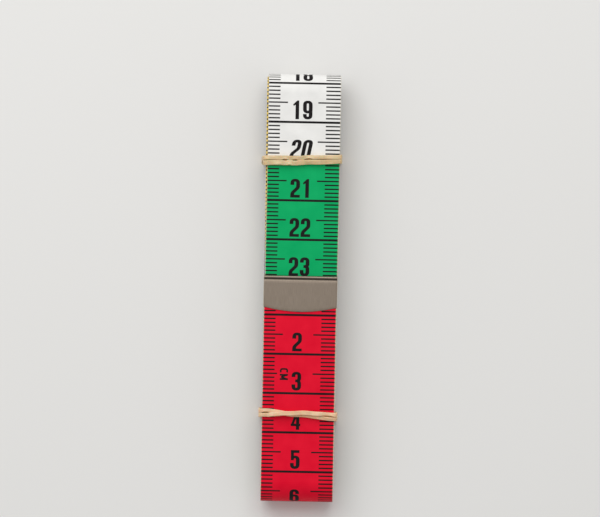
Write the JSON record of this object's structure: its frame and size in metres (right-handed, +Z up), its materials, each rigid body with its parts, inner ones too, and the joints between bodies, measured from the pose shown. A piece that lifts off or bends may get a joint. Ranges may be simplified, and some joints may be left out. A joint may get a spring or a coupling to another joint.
{
  "type": "cloth tape measure",
  "caption": "Soft cloth tape measure wound into a flat bundle, with a folded metal clip on each end and rubber bands that slide off to let it unwind.",
  "frame": {"origin": "on the surface that the bundle lies on, under the middle of its length and width", "axes": "+X across the tape, +Y along the bundle towards the end that the upper band is near, +Z up out of the front, where the zero end lies"},
  "size_m": [0.0214, 0.1094, 0.0135],
  "materials": {
    "tape_cloth": "coated cloth with a satin sheen, printed in bands of colour",
    "tape_cloth_red": "coated cloth with a satin sheen, printed red",
    "clip_metal": "brushed nickel plate",
    "band_rubber": "matte natural rubber"
  },
  "bodies": {
    "winding": {"tape_winding": "tape_cloth", "end_clip_inner": "clip_metal"},
    "free_end": {"tape_free_end": "tape_cloth_red", "end_clip_outer": "clip_metal"},
    "upper_band": {"rubber_band_upper": "band_rubber"},
    "lower_band": {"rubber_band_lower": "band_rubber"}
  },
  "joints": [
    {"name": "free_end_lift", "type": "hinge", "parent": "winding", "child": "free_end", "pos_m": [0, -0.02914, 0.01174], "axis": [1, 0, 0], "range_deg": [0, 120]},
    {"name": "upper_band_slide", "type": "slide", "parent": "winding", "child": "upper_band", "axis": [0, 1, 0], "range_m": [-0.027, 0.025]},
    {"name": "lower_band_slide", "type": "slide", "parent": "winding", "child": "lower_band", "axis": [0, -1, 0], "range_m": [0, 0.025]}
  ]
}
